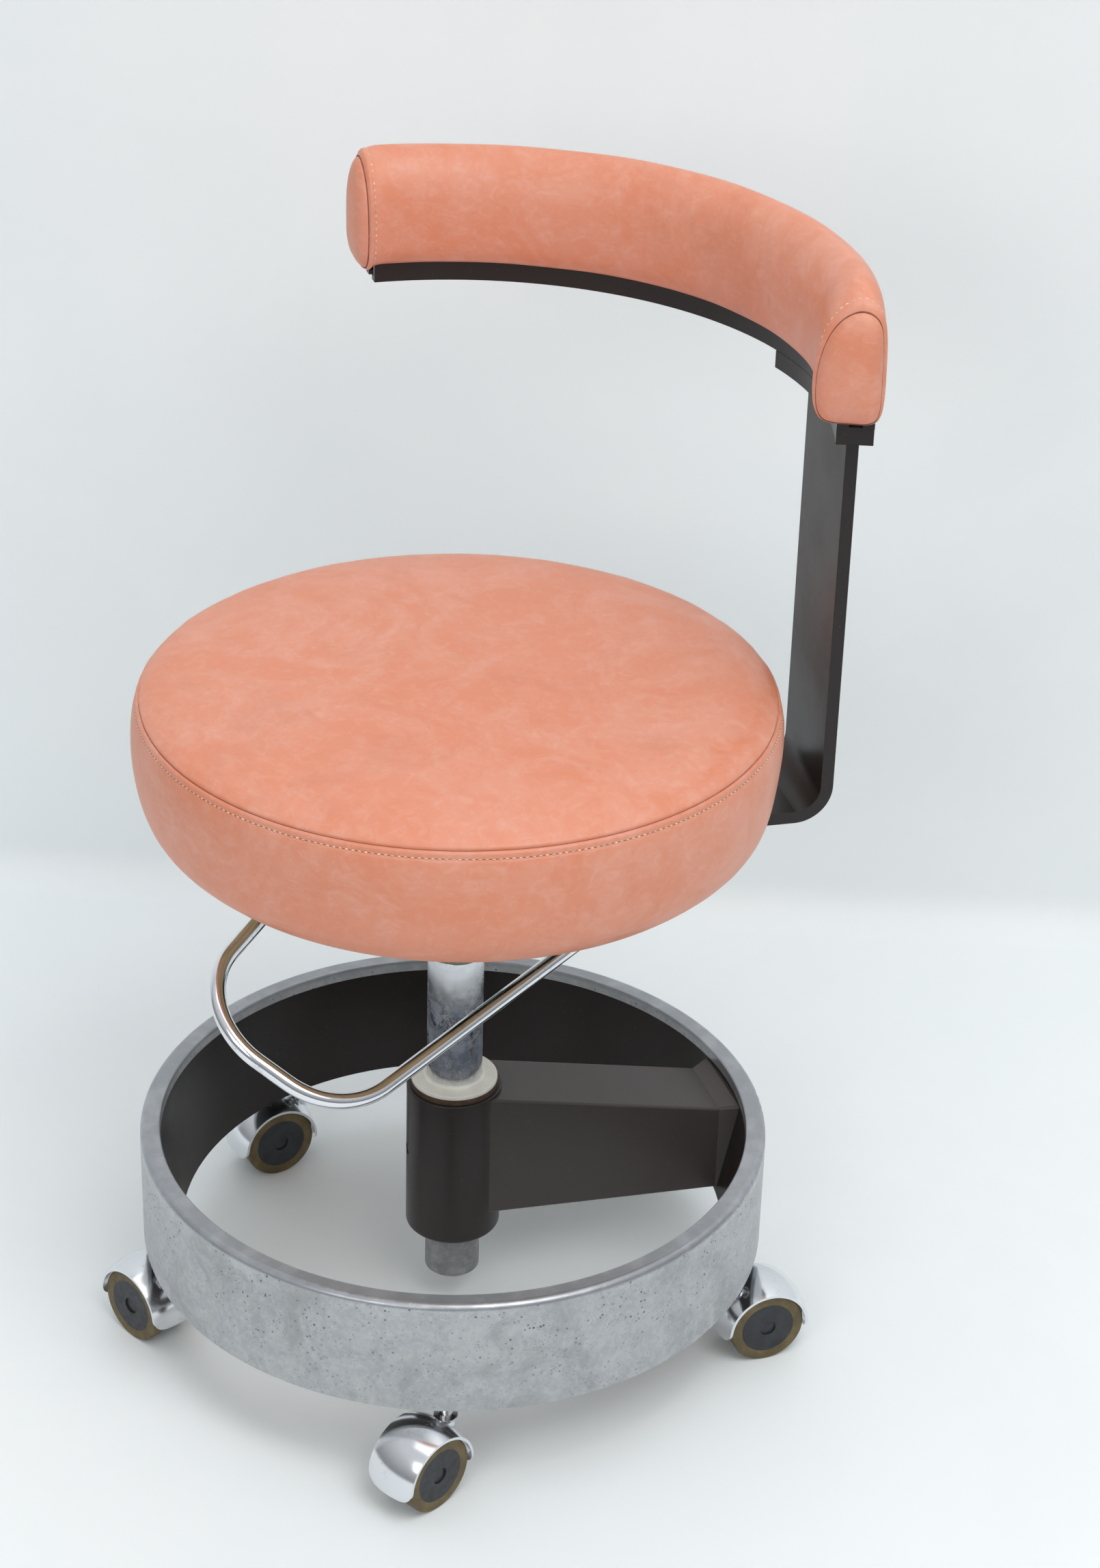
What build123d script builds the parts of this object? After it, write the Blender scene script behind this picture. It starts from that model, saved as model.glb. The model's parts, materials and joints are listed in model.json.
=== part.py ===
"""Dentist's operator stool: ring base on five hooded casters, gas column, round padded seat and a
padded backrest that slides round the seat on a curved rail.

Millimetres. The origin is on the floor under the column's axis, +Z is up, the sitter faces -Y and
the backrest's post stands at +Y.
"""

from build123d import *
from math import atan, cos, degrees, radians, sin
import os

os.makedirs("parts", exist_ok=True)

# Clearances
run_clearance = 0.05
slide_clearance = 0.3
soft_clearance = 0.3

# Base ring
base_radius = 204.0
base_bottom = 63.4
base_top = 143.0
rim_wall = 4.0
lip_width = 13.0
lip_height = 8.0
lip_outer_round = 4.5
lip_inner_round = 1.5
ring_top_inset = 0.6
ring_bottom_width = 21.0
ring_base_radius = base_radius - rim_wall - 0.1
ring_top_inner = base_radius - lip_width + ring_top_inset
ring_bottom_inner = ring_base_radius - ring_bottom_width
ring_top = base_top - lip_height

# Hub and arm
hub_radius = 31.0
hub_bore_radius = 20.5
hub_bottom = 60.0
hub_top = 169.0
hub_round = 3.0
arm_angle = 95.0
arm_width = 52.0
arm_wall = 4.0
arm_edge_round = 2.0
arm_top_at_hub = 164.0
arm_top_at_ring = 130.0
arm_bottom_at_hub = 77.0
arm_bottom_at_ring = 66.5
arm_flare = 5.5
arm_flare_length = 15.0
felt_height = 3.5
felt_radius = 28.6
collar_radius = 28.0
collar_height = 2.5
collar_lip_radius = 20.2
collar_lip_height = 2.0
bush_length = 30.0
grub_radius = 4.0
grub_height = 120.0

# Column
tube_radius = 18.0
tube_wall = 2.5
tube_bottom = 24.0
tube_top = 269.0
tube_floor = 4.0
guide_length = 44.0
cylinder_radius = 14.0
cylinder_wall = 3.0
cylinder_bottom = 40.0
gland_height = 12.0
rod_radius = 5.0
rod_top = 250.0
rod_bottom = 18.5
piston_height = 12.0
clip_height = 1.5
clip_radius = 8.5
bearing_radius = 11.5
bearing_height = 6.0
shoulder_height = 4.0
shoulder_radius = 8.0

# Seat
seat_radius = 199.5
seat_bottom = 369.0
board_radius = 170.0
board_height = 12.0
seat_widest_height = 428.0
seat_seam_radius = 194.0
seat_seam_height = 454.0
seat_crown_height = 471.0
seat_foot_radius = 177.0
socket_radius = 24.0
socket_bottom = 316.0
flange_radius = 36.0
flange_height = 6.0
taper_height = 34.0
taper_top_radius = 13.2
bolt_circle_radius = 30.0
bolt_radius = 3.0
bolt_head_radius = 5.0
bolt_head_height = 3.5

# Backrest post, bracket and rail
post_width = 76.0
post_thickness = 8.0
post_inner_face = 223.0
post_bend_radius = 16.0
post_leg_front = -62.0
rail_inner_radius = 217.0
rail_width = 22.0
rail_radius = rail_inner_radius + rail_width / 2
bracket_bottom = 627.0
bracket_height = 11.0
bracket_half_angle = 16.4
rail_height = 12.7
rail_wall = 3.0
rail_slot_width = 8.0
rail_lip_height = 3.0
rail_start = 73.0
rail_sweep = 110.2
stop_inset_angle = 1.2
stop_radius = 2.5
glide_neck_gap = 0.4
glide_screw_angle = 12.5
glide_screw_radius = 2.0
rail_screw_radius = 2.0
rail_screw_depth = 18.0
rail_screw_angles = (12.0, 40.7, 69.5, 98.2)

# Backrest cushion
pad_overhang_angle = 3.7
pad_bottom_gap = 0.3
pad_top = 722.5
pad_inner_radius = 202.0
pad_outer_radius = 243.0
core_thickness = 12.0
core_height = 46.0
core_end_angle = 2.0

# Height lever
lever_rod_radius = 5.0
lever_pivot_y = 45.0
lever_pivot_z = 342.0
lever_block_x = -17.0
lever_block_size = (50.0, 30.0, 15.0)
lever_route = [
    (0.0, 54.0, 346.0),
    (-0.7, 107.8, 286.2),
    (145.0, -100.5, 249.2),
    (97.4, -186.4, 309.5),
    (-33.8, -76.4, 337.3),
    (-34.0, 40.0, 342.0),
]
lever_bends = [10.0, 52.0, 51.0, 51.0]
lever_pin_radius = 3.0
lever_ear_thickness = 3.0
lever_ear_depth = 12.0
lever_tongue_width = 8.0
lever_tongue_thickness = 4.0
lever_travel = 4.0
valve_pin_radius = 3.0
valve_pin_height = 5.0
valve_pin_depth = 9.0

# Casters
wheel_radius = 25.0
wheel_outer_face = 16.0
web_half_width = 6.75
wheel_side_gap = 0.35
tyre_thickness = 7.0
hub_dimple_radius = 5.5
hub_dimple_depth = 1.2
axle_radius = 3.0
caster_trail = 21.0
caster_circle_radius = 192.5
hood_radius = 30.6
hood_crown = 3.2
hood_wall = 1.8
hood_half_width = 18.5
hood_drop = 6.0
hood_corner = 9.0
stem_radius = 5.0
stem_seat_radius = 7.5
stem_boss_top = 50.0
stem_bottom = 31.0
stem_depth = 30.0
socket_wall = 1.4
caster_step = 72.0
caster_trail_angles = (96.0, 150.0, 287.0, 212.0, 304.0)


def polar(radius, angle):
    """X and Y of a point at this radius and angle round the column."""
    return (radius * cos(radians(angle)), radius * sin(radians(angle)))


def radial_plane(angle):
    """Upright plane through the column's axis: local x runs outward, local y runs up."""
    out = (cos(radians(angle)), sin(radians(angle)), 0)
    side = (sin(radians(angle)), -cos(radians(angle)), 0)
    return Plane(origin=(0, 0, 0), x_dir=out, z_dir=side)


def arc_band(inner, outer, start, sweep):
    """Flat curved band between two radii, to be added to a sketch."""
    with BuildSketch() as band:
        with BuildLine():
            inside = CenterArc((0, 0), inner, start, sweep)
            outside = CenterArc((0, 0), outer, start, sweep)
            Line(inside @ 0, outside @ 0)
            Line(inside @ 1, outside @ 1)
        make_face()
    return band.sketch


def save(part, name):
    """Label one finished piece and write it."""
    part.label = name
    export_step(part, f"parts/{name}.step")


# ---------------------------------------------------------------- base ring

with BuildPart() as base_rim:
    with BuildSketch(Plane.XZ):
        with BuildLine():
            Polyline(
                (base_radius - rim_wall, base_bottom),
                (base_radius, base_bottom),
                (base_radius, base_top),
                (base_radius - lip_width, base_top),
                (base_radius - lip_width, ring_top),
                (base_radius - rim_wall, ring_top),
                close=True,
            )
        make_face()
        fillet(vertices().group_by(Axis.Y)[-1].sort_by(Axis.X)[-1], lip_outer_round)
        fillet(vertices().group_by(Axis.Y)[-1].sort_by(Axis.X)[0], lip_inner_round)
    revolve(axis=Axis.Z)
save(base_rim.part, "base_rim")

caster_angles = [arm_angle - caster_step / 2 + caster_step * index for index in range(5)]
socket_outer_radius = stem_radius + socket_wall
socket_top = base_bottom + stem_depth

with BuildPart() as inner_ring:
    with BuildSketch(Plane.XZ):
        Polygon(
            (ring_bottom_inner, base_bottom),
            (ring_base_radius, base_bottom),
            (ring_base_radius, ring_top),
            (ring_top_inner, ring_top),
            align=None,
        )
    revolve(axis=Axis.Z)
    with BuildSketch(Plane.XY.offset(base_bottom)):
        with Locations([polar(caster_circle_radius, angle) for angle in caster_angles]):
            Circle(socket_outer_radius)
    extrude(amount=stem_depth, mode=Mode.SUBTRACT)
save(inner_ring.part, "inner_ring")

with BuildPart() as caster_sockets:
    with BuildSketch(Plane.XY.offset(base_bottom)):
        with Locations([polar(caster_circle_radius, angle) for angle in caster_angles]):
            Circle(socket_outer_radius)
            Circle(stem_radius, mode=Mode.SUBTRACT)
    extrude(amount=stem_depth)
save(caster_sockets.part, "caster_sockets")

# ---------------------------------------------------------------- hub and arm

with BuildPart() as hub:
    with BuildSketch(Plane.XY.offset(hub_bottom)):
        Circle(hub_radius)
    extrude(amount=hub_top - hub_bottom)
    fillet(edges().group_by(Axis.Z)[0], hub_round)
    fillet(edges().group_by(Axis.Z)[-1], hub_round / 3)
    with Locations((0, 0, hub_bottom)):
        Cylinder(hub_bore_radius, hub_top - hub_bottom, align=(Align.CENTER, Align.CENTER, Align.MIN),
                 mode=Mode.SUBTRACT)
    with BuildSketch(Plane.XZ):
        with Locations((0, grub_height)):
            Circle(grub_radius)
    extrude(amount=hub_radius, mode=Mode.SUBTRACT)
save(hub.part, "hub")

with BuildPart() as grub_screw:
    with BuildSketch(Plane.XZ.offset(tube_radius)):
        with Locations((0, grub_height)):
            Circle(grub_radius)
    extrude(amount=hub_radius - tube_radius - 1)
    with BuildSketch(Plane.XZ.offset(hub_radius - 1)):
        with Locations((0, grub_height)):
            RegularPolygon(grub_radius / 2, 6)
    extrude(amount=-grub_radius, mode=Mode.SUBTRACT)
save(grub_screw.part, "grub_screw")

arm_plane = radial_plane(arm_angle)
arm_end = ring_base_radius
arm_flare_start = ring_top_inner - arm_flare_length


def arm_height(at, hub_value, ring_value):
    """Height of the arm's top or bottom line at this distance from the column."""
    share = (at - hub_radius) / (ring_bottom_inner - hub_radius)
    return hub_value + share * (ring_value - hub_value)


def arm_section(at, grow):
    """The arm's rectangle at this distance from the column, grown by this much all round."""
    top = arm_height(at, arm_top_at_hub, arm_top_at_ring) + grow
    bottom = max(arm_height(at, arm_bottom_at_hub, arm_bottom_at_ring) - grow, base_bottom + 0.2)
    plane = Plane(
        origin=(*polar(at, arm_angle), (top + bottom) / 2),
        x_dir=(-sin(radians(arm_angle)), cos(radians(arm_angle)), 0),
        z_dir=(cos(radians(arm_angle)), sin(radians(arm_angle)), 0),
    )
    return plane, top - bottom


with BuildPart() as support_arm:
    for at in (hub_radius / 2, arm_end):
        plane, height = arm_section(at, 0)
        with BuildSketch(plane):
            RectangleRounded(arm_width, height, arm_edge_round)
    loft()
    for at, grow in ((arm_flare_start, 0), (ring_top_inner - 3, arm_flare), (arm_end, arm_flare)):
        plane, height = arm_section(at, grow)
        with BuildSketch(plane):
            RectangleRounded(arm_width + 2 * grow, height, arm_edge_round)
    loft(ruled=True)
    for at in (hub_radius / 2, arm_end + 1):
        plane, height = arm_section(at, 0)
        with BuildSketch(plane):
            Rectangle(arm_width - 2 * arm_wall, height - 2 * arm_wall)
    loft(mode=Mode.SUBTRACT)
    with BuildSketch(Plane.XY.offset(hub_bottom)):
        Circle(hub_radius)
    extrude(amount=hub_top, mode=Mode.SUBTRACT)
    with BuildSketch(Plane.XZ):
        Polygon(
            (ring_bottom_inner, base_bottom),
            (ring_top_inner, ring_top),
            (ring_top_inner, ring_top + arm_width),
            (ring_base_radius + arm_width, ring_top + arm_width),
            (ring_base_radius + arm_width, base_bottom),
            align=None,
        )
    revolve(axis=Axis.Z, mode=Mode.SUBTRACT)
save(support_arm.part, "support_arm")

with BuildPart() as felt_ring:
    with BuildSketch(Plane.XY.offset(hub_top)):
        Circle(felt_radius)
        Circle(hub_bore_radius, mode=Mode.SUBTRACT)
    extrude(amount=felt_height)
save(felt_ring.part, "felt_ring")

collar_bottom = hub_top + felt_height
with BuildPart() as collar_bush:
    with BuildSketch(Plane.XY.offset(collar_bottom)):
        Circle(collar_radius)
    extrude(amount=collar_height)
    fillet(edges().group_by(Axis.Z)[-1], collar_height / 4)
    with BuildSketch(Plane.XY.offset(collar_bottom + collar_height)):
        Circle(collar_lip_radius)
    extrude(amount=collar_lip_height)
    chamfer(edges().group_by(Axis.Z)[-1], collar_lip_height / 2)
    with BuildSketch(Plane.XY.offset(collar_bottom)):
        Circle(hub_bore_radius)
    extrude(amount=-bush_length)
    with BuildSketch(Plane.XY.offset(hub_bottom)):
        Circle(tube_radius)
    extrude(amount=hub_top, mode=Mode.SUBTRACT)
save(collar_bush.part, "collar_bush")

with BuildPart() as lower_bush:
    with BuildSketch(Plane.XY.offset(hub_bottom + 0.5)):
        Circle(hub_bore_radius)
        Circle(tube_radius, mode=Mode.SUBTRACT)
    extrude(amount=bush_length)
save(lower_bush.part, "lower_bush")

# ---------------------------------------------------------------- column

tube_bore_radius = tube_radius - tube_wall
with BuildPart() as stand_tube:
    with BuildSketch(Plane.XY.offset(tube_bottom)):
        Circle(tube_radius)
    extrude(amount=tube_top - tube_bottom)
    fillet(edges().group_by(Axis.Z)[-1], tube_wall / 3)
    chamfer(edges().group_by(Axis.Z)[0], tube_wall / 3)
    with BuildSketch(Plane.XY.offset(tube_bottom + tube_floor)):
        Circle(tube_bore_radius)
    extrude(amount=tube_top - tube_bottom, mode=Mode.SUBTRACT)
    with BuildSketch(Plane.XY.offset(tube_bottom)):
        Circle(rod_radius + run_clearance)
    extrude(amount=tube_floor, mode=Mode.SUBTRACT)
save(stand_tube.part, "stand_tube")

with BuildPart() as guide_bush:
    with BuildSketch(Plane.XY.offset(tube_top - guide_length)):
        Circle(tube_bore_radius)
        Circle(cylinder_radius + run_clearance, mode=Mode.SUBTRACT)
    extrude(amount=guide_length - tube_wall / 2)
save(guide_bush.part, "guide_bush")

bearing_bottom = tube_bottom + tube_floor
with BuildPart() as thrust_bearing:
    with BuildSketch(Plane.XY.offset(bearing_bottom)):
        Circle(bearing_radius)
        Circle(rod_radius + 2 * run_clearance, mode=Mode.SUBTRACT)
    extrude(amount=bearing_height)
save(thrust_bearing.part, "thrust_bearing")

shoulder_bottom = bearing_bottom + bearing_height + run_clearance
with BuildPart() as piston_rod:
    with BuildSketch(Plane.XY.offset(rod_bottom)):
        Circle(rod_radius)
    extrude(amount=rod_top - rod_bottom)
    with BuildSketch(Plane.XY.offset(shoulder_bottom)):
        Circle(shoulder_radius)
    extrude(amount=shoulder_height)
save(piston_rod.part, "piston_rod")

with BuildPart() as piston:
    with BuildSketch(Plane.XY.offset(rod_top - piston_height)):
        Circle(cylinder_radius - cylinder_wall - run_clearance)
        Circle(rod_radius, mode=Mode.SUBTRACT)
    extrude(amount=piston_height)
save(piston.part, "piston")

with BuildPart() as rod_clip:
    with BuildSketch(Plane.XY.offset(tube_bottom - clip_height - run_clearance)):
        Circle(clip_radius)
        Circle(rod_radius, mode=Mode.SUBTRACT)
        with Locations((clip_radius, 0)):
            Rectangle(clip_radius * 2, rod_radius, mode=Mode.SUBTRACT)
    extrude(amount=clip_height)
save(rod_clip.part, "rod_clip")

taper_top = socket_bottom + taper_height
with BuildPart() as gas_cylinder:
    with BuildSketch(Plane.XZ):
        Polygon(
            (0, cylinder_bottom),
            (cylinder_radius, cylinder_bottom),
            (cylinder_radius, socket_bottom),
            (taper_top_radius, taper_top),
            (0, taper_top),
            align=None,
        )
    revolve(axis=Axis.Z)
    with BuildSketch(Plane.XY.offset(cylinder_bottom + gland_height)):
        Circle(cylinder_radius - cylinder_wall)
    extrude(amount=socket_bottom - cylinder_bottom - 2 * gland_height, mode=Mode.SUBTRACT)
    with BuildSketch(Plane.XY.offset(cylinder_bottom)):
        Circle(rod_radius + run_clearance)
    extrude(amount=gland_height, mode=Mode.SUBTRACT)
    with BuildSketch(Plane.XY.offset(taper_top)):
        Circle(valve_pin_radius + run_clearance)
    extrude(amount=-valve_pin_depth - lever_travel, mode=Mode.SUBTRACT)
save(gas_cylinder.part, "gas_cylinder")

with BuildPart() as valve_pin:
    with BuildSketch(Plane.XY.offset(taper_top - valve_pin_depth)):
        Circle(valve_pin_radius)
    extrude(amount=valve_pin_depth + valve_pin_height)
    chamfer(edges().group_by(Axis.Z)[-1], valve_pin_radius / 4)
save(valve_pin.part, "valve_pin")

# ---------------------------------------------------------------- seat

leg_top = seat_bottom
leg_bottom = leg_top - post_thickness
bolt_angles = (45, 135, 225, 315)
bolt_places = [polar(bolt_circle_radius, angle) for angle in bolt_angles]
slot_height = leg_bottom - taper_top

with BuildPart() as seat_socket:
    with BuildSketch(Plane.XY.offset(socket_bottom)):
        Circle(socket_radius)
    extrude(amount=leg_bottom - socket_bottom)
    fillet(edges().group_by(Axis.Z)[0], hub_round)
    with BuildSketch(Plane.XY.offset(leg_bottom - flange_height)):
        Circle(flange_radius)
    extrude(amount=flange_height)
    with BuildSketch(Plane.XZ):
        Polygon(
            (0, socket_bottom),
            (cylinder_radius, socket_bottom),
            (taper_top_radius, taper_top),
            (taper_top_radius, leg_bottom),
            (0, leg_bottom),
            align=None,
        )
    revolve(axis=Axis.Z, mode=Mode.SUBTRACT)
    with BuildSketch(Plane.XY.offset(taper_top)):
        with Locations((0, flange_radius / 2)):
            Rectangle(lever_tongue_width + 2, flange_radius)
    extrude(amount=slot_height, mode=Mode.SUBTRACT)
    with BuildSketch(Plane.XY.offset(leg_bottom)):
        with Locations(bolt_places):
            Circle(bolt_radius)
    extrude(amount=-flange_height, mode=Mode.SUBTRACT)
save(seat_socket.part, "seat_socket")

bolt_head_top = leg_bottom - flange_height
with BuildPart() as seat_bolts:
    with BuildSketch(Plane.XY.offset(bolt_head_top)):
        with Locations(bolt_places):
            Circle(bolt_radius)
    extrude(amount=seat_bottom + board_height / 2 - bolt_head_top)
    with BuildSketch(Plane.XY.offset(bolt_head_top)):
        with Locations(bolt_places):
            RegularPolygon(bolt_head_radius, 6)
    extrude(amount=-bolt_head_height)
save(seat_bolts.part, "seat_bolts")

post_outer_face = post_inner_face + post_thickness
with BuildPart() as post:
    with BuildSketch(Plane.YZ.offset(-post_width / 2)):
        with Locations((post_leg_front, leg_bottom)):
            Rectangle(post_outer_face - post_leg_front, post_thickness, align=Align.MIN)
        with Locations((post_inner_face, leg_bottom)):
            Rectangle(post_thickness, bracket_bottom - leg_bottom, align=Align.MIN)
        corner = vertices().filter_by_position(Axis.X, post_inner_face - 1, post_outer_face + 1)
        fillet(corner.sort_by(Axis.Y)[0], post_bend_radius + post_thickness)
        corner = vertices().filter_by_position(Axis.X, post_inner_face - 1, post_inner_face + 1)
        fillet(corner.sort_by(Axis.Y)[0], post_bend_radius)
    extrude(amount=post_width)
    with BuildSketch(Plane.XY.offset(leg_top)):
        with Locations(bolt_places):
            Circle(bolt_radius)
    extrude(amount=-post_thickness, mode=Mode.SUBTRACT)
save(post.part, "post")

with BuildPart() as seat_board:
    with BuildSketch(Plane.XY.offset(seat_bottom)):
        Circle(board_radius)
    extrude(amount=board_height)
    with BuildSketch(Plane.XY.offset(seat_bottom)):
        with Locations(bolt_places):
            Circle(bolt_radius)
    extrude(amount=board_height / 2, mode=Mode.SUBTRACT)
save(seat_board.part, "seat_board")

pad_floor = seat_bottom + board_height + soft_clearance
with BuildPart() as seat_pad:
    with BuildSketch(Plane.XZ):
        with BuildLine():
            under = Polyline(
                (0, pad_floor),
                (board_radius + soft_clearance, pad_floor),
                (board_radius + soft_clearance, seat_bottom + soft_clearance),
                (seat_foot_radius, seat_bottom + soft_clearance),
            )
            side = Spline(
                under @ 1,
                (seat_radius - 5.5, seat_bottom + 14),
                (seat_radius, seat_widest_height),
                (seat_seam_radius, seat_seam_height),
            )
            crown = Spline(
                side @ 1,
                (seat_seam_radius * 0.8, seat_crown_height - 4),
                (0, seat_crown_height),
                tangents=[(-1, 0.8), (-1, 0)],
            )
            Line(crown @ 1, (0, pad_floor))
        make_face()
    revolve(axis=Axis.Z)
save(seat_pad.part, "seat_pad")

# ---------------------------------------------------------------- bracket, glide and rail

rail_bottom = bracket_bottom + bracket_height + slide_clearance
rail_top = rail_bottom + rail_height
rail_roof_bottom = rail_top - rail_wall
bracket_top = bracket_bottom + bracket_height
glide_screw_places = [
    polar(rail_radius, 90 + side * glide_screw_angle) for side in (-1, 1)
]
stop_half_angle = degrees(atan(stop_radius / rail_radius))
gap_angle = degrees(atan(slide_clearance / rail_radius))
glide_half_angle = 90 - rail_start - stop_inset_angle - stop_half_angle - gap_angle

with BuildPart() as rail_bracket:
    with BuildSketch(Plane.XY.offset(bracket_bottom)):
        add(arc_band(rail_inner_radius, rail_inner_radius + rail_width, 90 - bracket_half_angle,
                 2 * bracket_half_angle))
    extrude(amount=bracket_height)
    with BuildSketch(Plane.XY.offset(bracket_bottom)):
        with Locations(glide_screw_places):
            Circle(glide_screw_radius)
    extrude(amount=bracket_height, mode=Mode.SUBTRACT)
save(rail_bracket.part, "rail_bracket")

neck_half_width = rail_slot_width / 2 - glide_neck_gap
head_half_width = rail_width / 2 - rail_wall - slide_clearance
head_bottom = rail_bottom + rail_lip_height + slide_clearance
head_top = rail_roof_bottom - slide_clearance
with BuildPart() as rail_glide:
    with BuildSketch(Plane.XY.offset(bracket_top)):
        add(arc_band(rail_radius - neck_half_width, rail_radius + neck_half_width,
                 90 - glide_half_angle, 2 * glide_half_angle))
    extrude(amount=head_top - bracket_top)
    with BuildSketch(Plane.XY.offset(head_bottom)):
        add(arc_band(rail_radius - head_half_width, rail_radius + head_half_width,
                 90 - glide_half_angle, 2 * glide_half_angle))
    extrude(amount=head_top - head_bottom)
    with BuildSketch(Plane.XY.offset(bracket_top)):
        with Locations(glide_screw_places):
            Circle(glide_screw_radius)
    extrude(amount=rail_lip_height, mode=Mode.SUBTRACT)
save(rail_glide.part, "rail_glide")

with BuildPart() as glide_screws:
    with BuildSketch(Plane.XY.offset(bracket_bottom)):
        with Locations(glide_screw_places):
            Circle(glide_screw_radius)
    extrude(amount=bracket_height + rail_lip_height)
    with BuildSketch(Plane.XY.offset(bracket_bottom)):
        with Locations(glide_screw_places):
            Circle(glide_screw_radius * 1.9)
    extrude(amount=-glide_screw_radius)
    fillet(edges().group_by(Axis.Z)[0], glide_screw_radius / 2)
save(glide_screws.part, "glide_screws")

rail_screw_places = [polar(rail_radius, rail_start + angle) for angle in rail_screw_angles]
with BuildPart() as back_rail:
    with BuildSketch(Plane.XY.offset(rail_bottom)):
        add(arc_band(rail_inner_radius, rail_inner_radius + rail_width, rail_start, rail_sweep))
    extrude(amount=rail_height)
    with BuildSketch(Plane.XY.offset(rail_bottom)):
        add(arc_band(rail_radius - rail_slot_width / 2, rail_radius + rail_slot_width / 2,
                 rail_start, rail_sweep))
    extrude(amount=rail_height - rail_wall, mode=Mode.SUBTRACT)
    with BuildSketch(Plane.XY.offset(rail_bottom + rail_lip_height)):
        add(arc_band(rail_inner_radius + rail_wall, rail_inner_radius + rail_width - rail_wall,
                 rail_start, rail_sweep))
    extrude(amount=rail_height - rail_wall - rail_lip_height, mode=Mode.SUBTRACT)
    with BuildSketch(Plane.XY.offset(rail_top)):
        with Locations(rail_screw_places):
            Circle(rail_screw_radius)
    extrude(amount=-rail_wall, mode=Mode.SUBTRACT)
save(back_rail.part, "back_rail")

stop_angles = (rail_start + stop_inset_angle, rail_start + rail_sweep - stop_inset_angle)
with BuildPart() as rail_stops:
    with BuildSketch(Plane.XY.offset(rail_bottom + rail_lip_height)):
        with Locations([polar(rail_radius, angle) for angle in stop_angles]):
            Circle(stop_radius)
    extrude(amount=rail_roof_bottom - rail_bottom - rail_lip_height)
save(rail_stops.part, "rail_stops")

core_inner = rail_radius - core_thickness / 2
core_outer = rail_radius + core_thickness / 2
with BuildPart() as back_core:
    with BuildSketch(Plane.XY.offset(rail_top)):
        add(arc_band(core_inner, core_outer, rail_start + core_end_angle, rail_sweep - 2 * core_end_angle))
    extrude(amount=core_height)
    with BuildSketch(Plane.XY.offset(rail_top)):
        with Locations(rail_screw_places):
            Circle(rail_screw_radius)
    extrude(amount=rail_screw_depth, mode=Mode.SUBTRACT)
save(back_core.part, "back_core")

with BuildPart() as rail_screws:
    with BuildSketch(Plane.XY.offset(rail_roof_bottom)):
        with Locations(rail_screw_places):
            Circle(rail_screw_radius)
    extrude(amount=rail_wall + rail_screw_depth)
save(rail_screws.part, "rail_screws")

pad_bottom = rail_top + pad_bottom_gap
pad_start = rail_start - pad_overhang_angle
pad_sweep = rail_sweep + 2 * pad_overhang_angle
with BuildPart() as back_pad:
    with BuildSketch(radial_plane(pad_start)):
        with BuildLine():
            foot = Line((pad_outer_radius - 6, pad_bottom), (pad_inner_radius + 9, pad_bottom))
            Spline(
                foot @ 1,
                (pad_inner_radius, pad_bottom + 18),
                (pad_inner_radius + 2, pad_bottom + 42),
                (pad_inner_radius + 10, pad_top - 10),
                (pad_inner_radius + 25, pad_top),
                (pad_outer_radius - 4, pad_top - 11),
                (pad_outer_radius, pad_bottom + 38),
                (pad_outer_radius - 1.5, pad_bottom + 14),
                foot @ 0,
            )
        make_face()
    revolve(axis=Axis.Z, revolution_arc=pad_sweep)
    with BuildSketch(Plane.XY.offset(pad_bottom)):
        add(arc_band(core_inner - soft_clearance, core_outer + soft_clearance,
                 rail_start + core_end_angle - 2 * gap_angle,
                 rail_sweep - 2 * core_end_angle + 4 * gap_angle))
    extrude(amount=core_height, mode=Mode.SUBTRACT)
save(back_pad.part, "back_pad")

# ---------------------------------------------------------------- height lever

with BuildPart() as lever_loop:
    with BuildLine() as lever_path:
        FilletPolyline(*lever_route, radius=lever_bends)
    with BuildSketch(Plane(origin=lever_path.line @ 0, z_dir=lever_path.line % 0)):
        Circle(lever_rod_radius)
    sweep()
save(lever_loop.part, "lever_loop")

block_length, block_depth, block_height = lever_block_size
ear_inside = block_length / 2 + slide_clearance
tongue_bottom = taper_top + valve_pin_height + slide_clearance
tongue_end = -valve_pin_radius
tongue_root = lever_pivot_y - block_depth / 2 + lever_tongue_thickness
with BuildPart() as lever_block:
    with Locations((lever_block_x, lever_pivot_y, lever_pivot_z)):
        Box(block_length, block_depth, block_height)
    with BuildSketch(Plane.XY.offset(tongue_bottom)):
        with Locations((-lever_tongue_width / 2, tongue_end)):
            Rectangle(lever_tongue_width, tongue_root - tongue_end, align=Align.MIN)
    extrude(amount=lever_tongue_thickness)
    with BuildSketch(Plane.XY.offset(lever_pivot_z)):
        with Locations((0, lever_pivot_y - block_depth / 2 + lever_tongue_thickness / 2)):
            Rectangle(lever_tongue_width, lever_tongue_thickness)
    extrude(amount=tongue_bottom + lever_tongue_thickness - lever_pivot_z)
    add(lever_loop.part, mode=Mode.SUBTRACT)
    with BuildSketch(Plane.YZ.offset(lever_block_x - block_length)):
        with Locations((lever_pivot_y, lever_pivot_z)):
            Circle(lever_pin_radius + run_clearance)
    extrude(amount=2 * block_length, mode=Mode.SUBTRACT)
save(lever_block.part, "lever_block")

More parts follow.
